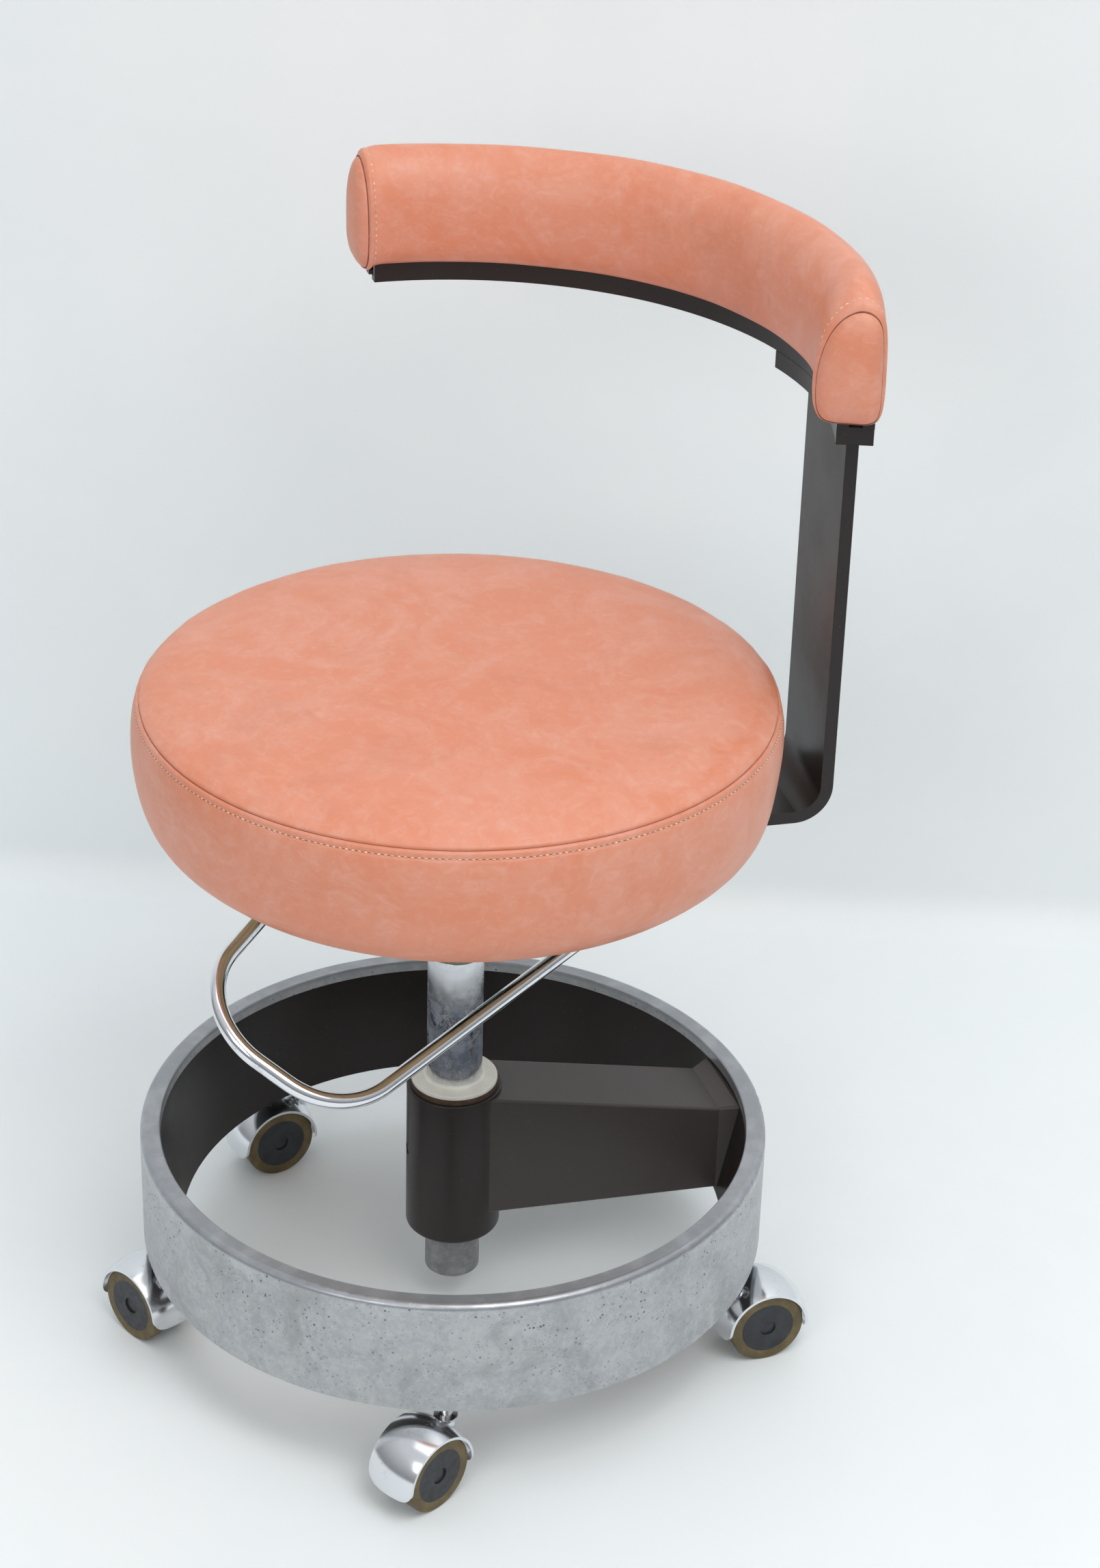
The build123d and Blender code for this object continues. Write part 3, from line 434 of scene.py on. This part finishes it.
def swell(obj, held, pressure, frames, cap):
    """Cloth run that inflates a mesh; returns each point's capped move."""
    rest = np.array([v.co for v in obj.data.vertices])
    group = obj.vertex_groups.new(name="held")
    for index in held:
        group.add([int(index)], 1.0, "REPLACE")
    cloth = obj.modifiers.new("cloth", "CLOTH")
    cloth.settings.quality = 6
    cloth.settings.mass = 0.3
    cloth.settings.tension_stiffness = 40
    cloth.settings.compression_stiffness = 40
    cloth.settings.shear_stiffness = 12
    cloth.settings.bending_stiffness = 0.4
    cloth.settings.vertex_group_mass = "held"
    cloth.settings.use_pressure = True
    cloth.settings.uniform_pressure_force = pressure
    cloth.settings.effector_weights.gravity = 0
    cloth.collision_settings.use_collision = False
    scene = bpy.context.scene
    for number in range(1, frames + 1):
        scene.frame_set(number)
    graph = bpy.context.evaluated_depsgraph_get()
    done = obj.evaluated_get(graph)
    moved = np.array([v.co for v in done.data.vertices]) - rest
    scene.frame_set(1)
    obj.modifiers.remove(cloth)
    length = np.linalg.norm(moved, axis=1, keepdims=True)
    return moved * np.minimum(1, cap / np.maximum(length, 1e-9))


SEAT_COLUMNS = 720
ROUGH_ROWS, ROUGH_COLUMNS = 90, 200
STITCH_DROP = 0.0052
PUCKERS = ((41, 0.10, 0.3), (67, 0.09, 1.9), (23, 0.16, 4.1), (11, 0.20, 2.2), (97, 0.05, 0.7))
BAND_JOIN_ANGLE = -13.2


def make_seat():
    """Round box cushion: crowned top panel, bulging band, a fold seam and a row of topstitching."""
    line = smooth_line(SEAT_PROFILE, 900) / 1000
    run = np.concatenate([[0], np.cumsum(np.linalg.norm(np.diff(line, axis=0), axis=1))])
    seam_at = run[np.argmin(np.hypot(line[:, 0] - SEAM_RADIUS / 1000, line[:, 1] - SEAM_HEIGHT / 1000))]
    stitch_at = seam_at - STITCH_DROP
    coarse = np.arange(0.004, run[-1] - 0.004, 0.005)
    fine = np.concatenate([coarse, seam_at + np.arange(-0.010, 0.0081, 0.0005)])
    at = np.unique(np.round(fine, 5))
    columns = SEAT_COLUMNS

    def surface(positions, count):
        r = np.interp(positions, run, line[:, 0])
        z = np.interp(positions, run, line[:, 1])
        dr = np.interp(positions + 4e-4, run, line[:, 0]) - np.interp(positions - 4e-4, run, line[:, 0])
        dz = np.interp(positions + 4e-4, run, line[:, 1]) - np.interp(positions - 4e-4, run, line[:, 1])
        size = np.hypot(dr, dz)
        nr, nz = dz / size, -dr / size
        turn = np.arange(count) * 2 * math.pi / count
        place = np.stack([r[:, None] * np.cos(turn), r[:, None] * np.sin(turn), z[:, None] + 0 * turn], axis=2)
        out = np.stack([nr[:, None] * np.cos(turn), nr[:, None] * np.sin(turn), nz[:, None] + 0 * turn], axis=2)
        return place, out, turn

    place, out, turn = surface(at, columns)
    lift = np.zeros((len(at), columns))
    rough_at = np.linspace(0.004, run[-1] - 0.004, ROUGH_ROWS)
    rough_columns = ROUGH_COLUMNS
    rough_place, rough_out, _ = surface(rough_at, rough_columns)
    points = rough_place.reshape(-1, 3)
    faces = grid_faces(len(rough_at), rough_columns)
    faces.append(tuple(reversed(range(rough_columns))))
    faces.append(tuple(range(len(points) - rough_columns, len(points))))
    start = add_mesh("seat_start", points, faces, vinyl, None)
    near = np.abs(rough_at - seam_at) < 0.0035
    under = np.interp(rough_at, run, line[:, 1]) < 0.3825
    rows = np.nonzero(near | under)[0]
    held = (rows[:, None] * rough_columns + np.arange(rough_columns)).ravel()
    moved = swell(start, held, 2.2, 14, 0.0035).reshape(len(rough_at), rough_columns, 3)
    bpy.data.objects.remove(start)
    along = (moved * rough_out).sum(axis=2)
    index = np.interp(at, rough_at, np.arange(len(rough_at)))
    low = np.clip(np.floor(index).astype(int), 0, len(rough_at) - 2)
    rows_mix = along[low] + (along[low + 1] - along[low]) * (index - low)[:, None]
    column = np.arange(columns) * rough_columns / columns
    left = np.floor(column).astype(int)
    share = column - left
    lift = rows_mix[:, left % rough_columns] * (1 - share) + rows_mix[:, (left + 1) % rough_columns] * share
    lift = lift - lift.mean(axis=1, keepdims=True) * 0.6

    away = (at - seam_at)[:, None]
    pucker = np.zeros(columns)
    for wave, size, phase in PUCKERS:
        pucker += size * np.sin(wave * turn + phase)
    lift += 0.00055 * pucker * np.exp(-(away / 0.010) ** 2)
    lift += 0.0011 * np.sin(3 * turn + 0.6) * np.exp(-((away + 0.045) / 0.030) ** 2)
    lift += 0.0007 * np.sin(7 * turn + 2.6) * np.exp(-((away + 0.050) / 0.022) ** 2)
    groove = -0.0011 * np.exp(-(away / 0.00055) ** 2) + 0.00045 * np.exp(-((away + 0.0022) / 0.0013) ** 2)
    groove += 0.00030 * np.exp(-((away - 0.0022) / 0.0015) ** 2)
    valley = -0.00050 * np.exp(-((away + STITCH_DROP) / 0.0010) ** 2)
    lift += groove + valley
    join = math.radians(BAND_JOIN_ANGLE)
    gap = ((turn - join + math.pi) % (2 * math.pi) - math.pi) * 0.195
    band = np.clip((away + 0.0055) / 0.0004, 0, 1) * np.clip((0.0000 - away) / 0.0004, 0, 1)
    lift += -0.0009 * np.exp(-(gap / 0.0007) ** 2) * band
    place = place + out * lift[:, :, None]

    points = place.reshape(-1, 3)
    faces = grid_faces(len(at), columns)
    points = np.vstack([points, [[0, 0, line[0, 1]], [0, 0, place[-1, :, 2].mean() + 0.00005]]])
    last = (len(at) - 1) * columns
    for j in range(columns):
        k = (j + 1) % columns
        faces.append((k, j, len(points) - 2))
        faces.append((last + j, last + k, len(points) - 1))
    cushion = add_mesh("seat_cushion", points, faces, vinyl, "seat")
    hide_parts("seat_pad")
    row = int(np.argmin(np.abs(at - stitch_at)))
    ring = np.vstack([place[row], place[row][:1]])
    normal = np.vstack([out[row], out[row][:1]])
    stitch_row("seat_stitches", ring, normal, 0.0038, 0.0026, 0.00050, "seat")
    # Painted shade: dark lines laid in the stitch valley and in the bottom of the seam groove.
    seam_shade_line("seat_stitch_shade", place[row][::2] - out[row][::2] * 0.0001, 0.00026, "seat")
    row = int(np.argmin(np.abs(at - seam_at)))
    seam_shade_line("seat_seam_shade", place[row][::2] + out[row][::2] * 0.0001, 0.00026, "seat")
    return cushion


# ------------------------------------------------------------------ backrest cushion

PAD_MIDDLE = [
    (225, 651.35), (216, 651.4), (208.5, 654), (203.8, 661), (202.0, 672), (202.2, 686), (204.8, 700.5),
    (210, 712.5), (217, 720.5), (225, 724.6), (232, 723.0), (238, 715.5), (241.4, 703), (242.7, 687),
    (242.6, 670), (241, 657.5), (236, 651.6),
]
PAD_NEAR_END = [
    (225, 641.3), (214, 641.6), (207, 644.0), (203.3, 650.5), (202.0, 661), (202.4, 675), (205.0, 688.5),
    (209.6, 700.0), (216.5, 708.8), (225.5, 713.4), (233.8, 711.8), (239.3, 705.0), (241.4, 692), (242.0, 673),
    (242.2, 655), (240.4, 645.0), (235, 641.5),
]
PAD_FAR_END = [
    (226, 647.0), (217, 647.2), (209.5, 650), (204.6, 656.5), (202.8, 667), (202.6, 679), (203.8, 692),
    (207.6, 705.0), (214.5, 715.5), (224, 721.0), (232, 719.4), (237.8, 711.8), (240.8, 699), (241.8, 685),
    (241.8, 669), (240.6, 656), (235.8, 649.0),
]
PAD_NEAR, PAD_FAR = 71.8, 185.2
PAD_RADIUS = 0.226
PAD_COLUMNS = 260
CAP_STITCH_INSET = 0.0050
RAIL_TOP = 0.65135


def make_back():
    """Curved D-section bolster whose cover turns in over an end panel at each end."""
    columns = PAD_COLUMNS
    middle = smooth_line(PAD_MIDDLE, columns, True) / 1000
    ends = {"near": smooth_line(PAD_NEAR_END, columns, True) / 1000,
            "far": smooth_line(PAD_FAR_END, columns, True) / 1000}
    radius = PAD_RADIUS
    sweep = math.radians(PAD_FAR - PAD_NEAR)
    length = sweep * radius
    rows = [0.0, 0.0004, 0.0009, 0.0015, 0.0022, 0.003, 0.004, 0.005, 0.006, 0.0068, 0.0076, 0.0085, 0.0095,
            0.011, 0.013, 0.016, 0.020, 0.025]
    inner_rows = list(np.arange(0.030, length - 0.029, 0.004))
    at = np.array(rows + inner_rows + [length - r for r in reversed(rows)])

    def normals(section):
        ahead = np.roll(section, -1, axis=0) - np.roll(section, 1, axis=0)
        n = np.stack([-ahead[:, 1], ahead[:, 0]], axis=1)
        n /= np.linalg.norm(n, axis=1, keepdims=True)
        if ((section - section.mean(axis=0)) * n).sum() < 0:
            n = -n
        return n

    place, out = [], []
    under = np.array([1.0 if z < 0.6525 else 0.0 for z in middle[:, 1]])
    for s in at:
        edge = min(s, length - s)
        end, reach = (ends["near"], 0.024) if s < length / 2 else (ends["far"], 0.012)
        share = 1 - min(1, edge / reach)
        share = share * share
        section = middle * (1 - share) + end * share
        if s > 0.0052 and length - s > 0.0012:
            low = section[:, 1] < RAIL_TOP
            on_rail = (section[:, 0] > 0.2168) & (section[:, 0] < 0.2397)
            section[low & on_rail, 1] = RAIL_TOP
        n = normals(section)
        roll = 0.0009 * math.exp(-((edge - 0.0030) / 0.0022) ** 2) - 0.0021 * math.exp(-(edge / 0.0009) ** 2)
        valley = -0.00045 * math.exp(-((edge - CAP_STITCH_INSET) / 0.0010) ** 2)
        angle = math.radians(PAD_NEAR) + s / radius
        wave = 0.00025 * np.sin(7 * angle + 0.4 + 40 * section[:, 1]) * (1 - share)
        wave += 0.00012 * np.sin(19 * angle + 50 * section[:, 1]) * (1 - share)
        if not 0.0052 < s < length - 0.0012:
            wave = wave * 0
        free = 1 - under * 0.999
        moved = section + n * ((roll + valley) + wave * free)[:, None]
        across, side = math.cos(angle), math.sin(angle)
        place.append(np.stack([moved[:, 0] * across, moved[:, 0] * side, moved[:, 1]], axis=1))
        out.append(np.stack([n[:, 0] * across, n[:, 0] * side, n[:, 1]], axis=1))
    place, out = np.array(place), np.array(out)

    def cap(which):
        """Rows of the end panel, from the seam to its middle, and the middle point."""
        angle = math.radians(PAD_NEAR if which == "near" else PAD_FAR)
        side = -1 if which == "near" else 1
        along = np.array([-math.sin(angle), math.cos(angle), 0]) * side
        end = ends[which]
        centre = end.mean(axis=0)
        made = []
        for scale, rise in ((0.955, -0.0014), (0.945, -0.0006), (0.93, 0.0006), (0.91, 0.0014), (0.87, 0.0026),
                            (0.80, 0.0039), (0.70, 0.0052), (0.56, 0.0064), (0.40, 0.0072), (0.22, 0.0077),
                            (0.10, 0.0079)):
            ring = centre + (end - centre) * scale
            flat = np.stack([ring[:, 0] * math.cos(angle), ring[:, 0] * math.sin(angle), ring[:, 1]], axis=1)
            made.append(flat + along * rise)
        tip = np.array([centre[0] * math.cos(angle), centre[0] * math.sin(angle), centre[1]]) + along * 0.0080
        return np.array(made), tip

    near, near_tip = cap("near")
    far, far_tip = cap("far")
    # Painted shade: dark lines laid in the seams round both end panels.
    seam_shade_line("back_seam_shade_near", (place[0] + near[1]) / 2, 0.00055, "backrest")
    seam_shade_line("back_seam_shade_far", (place[-1] + far[1]) / 2, 0.00055, "backrest")
    rows_all = np.concatenate([near[::-1], place, far])
    points = rows_all.reshape(-1, 3)
    faces = grid_faces(len(rows_all), columns)
    points = np.vstack([points, [near_tip, far_tip]])
    last = (len(rows_all) - 1) * columns
    for j in range(columns):
        k = (j + 1) % columns
        faces.append((k, j, len(points) - 2))
        faces.append((last + j, last + k, len(points) - 1))
    pad = add_mesh("back_cushion", points, faces, vinyl, "backrest")
    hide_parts("back_pad")
    pick = int(np.argmin(np.abs(at - CAP_STITCH_INSET)))
    for name, row in (("back_stitches_near", pick), ("back_stitches_far", len(at) - 1 - pick)):
        start = int(columns * 0.10)
        stop = int(columns * 0.93)
        stitch_row(name, place[row][start:stop], out[row][start:stop], 0.0040, 0.0027, 0.00050, "backrest")
    return pad


make_seat()
make_back()


# ------------------------------------------------------------------ stage and light

def make_stage():
    """Pale floor that turns up into a pale wall, seen only from its front."""
    corner = Vector((-0.485, 0.178, 0))
    along = turned(73.6, 0)
    front = turned(-16.4, 0)
    line = [(3.2, 0.0)]
    bend = 0.03
    turns = [t * math.pi / 16 for t in range(9)]
    line += [(bend - bend * math.sin(t), bend - bend * math.cos(t)) for t in turns]
    line += [(0.0, 2.4)]
    points, faces = [], []
    for side in (-3.0, 3.0):
        for forward, up in line:
            points.append(corner + along * side + front * forward + Vector((0, 0, up)))
    count = len(line)
    for i in range(count - 1):
        faces.append((i, i + 1, count + i + 1, count + i))
    s = Shader("stage_white", (0.86, 0.88, 0.88), 0.62)
    smudge = s.noise(2.2, 5, 0.6, 0.6)
    s.set("Base Color", s.mix(s.step(smudge, 0.35, 0.7), (0.865, 0.905, 0.915), (0.905, 0.935, 0.94)))
    see_through = s.tree.nodes.new("ShaderNodeBsdfTransparent")
    facing = s.tree.nodes.new("ShaderNodeNewGeometry")
    both = s.tree.nodes.new("ShaderNodeMixShader")
    s.link(facing.outputs["Backfacing"], both.inputs[0])
    s.link(s.bsdf.outputs[0], both.inputs[1])
    s.link(see_through.outputs[0], both.inputs[2])
    s.link(both.outputs[0], s.out.inputs["Surface"])
    stage = add_mesh("stage", points, faces, s.material, None)
    normal = stage.data.polygons[0].normal
    if normal.z < 0:
        stage.data.flip_normals()


def area_light(name, place, target, power, size, color=(1, 1, 1)):
    """Soft square light aimed at a point."""
    data = bpy.data.lights.new(name, "AREA")
    data.energy = power
    data.shape = "RECTANGLE"
    data.size, data.size_y = size
    data.color = color
    obj = bpy.data.objects.new(name, data)
    bpy.context.scene.collection.objects.link(obj)
    obj.location = place
    obj.rotation_euler = (Vector(target) - Vector(place)).to_track_quat("-Z", "Y").to_euler()


def make_world():
    """Soft room light: pale above, grey below."""
    world = bpy.data.worlds.new("world")
    bpy.context.scene.world = world
    world.use_nodes = True
    tree = world.node_tree
    background = tree.nodes["Background"]
    place = tree.nodes.new("ShaderNodeTexCoord")
    split = tree.nodes.new("ShaderNodeSeparateXYZ")
    ramp = tree.nodes.new("ShaderNodeValToRGB")
    tree.links.new(place.outputs["Generated"], split.inputs[0])
    tree.links.new(split.outputs[2], ramp.inputs[0])
    ramp.color_ramp.elements[0].position = 0.0
    ramp.color_ramp.elements[0].color = (0.30, 0.31, 0.32, 1)
    ramp.color_ramp.elements[1].position = 0.75
    ramp.color_ramp.elements[1].color = (0.95, 0.97, 1.0, 1)
    tree.links.new(ramp.outputs[0], background.inputs["Color"])
    background.inputs["Strength"].default_value = 0.70


make_stage()
make_world()
area_light("key", (1.45, 0.45, 2.4), (0, 0, 0.35), 24, (1.4, 1.4), (1.0, 0.99, 0.97))
area_light("fill", (1.7, -1.4, 1.6), (-0.2, -0.3, 0.3), 9, (1.2, 0.9))
area_light("top", (0.1, 0.1, 2.6), (0, 0, 0.3), 9, (2.0, 2.0), (0.96, 0.98, 1.0))
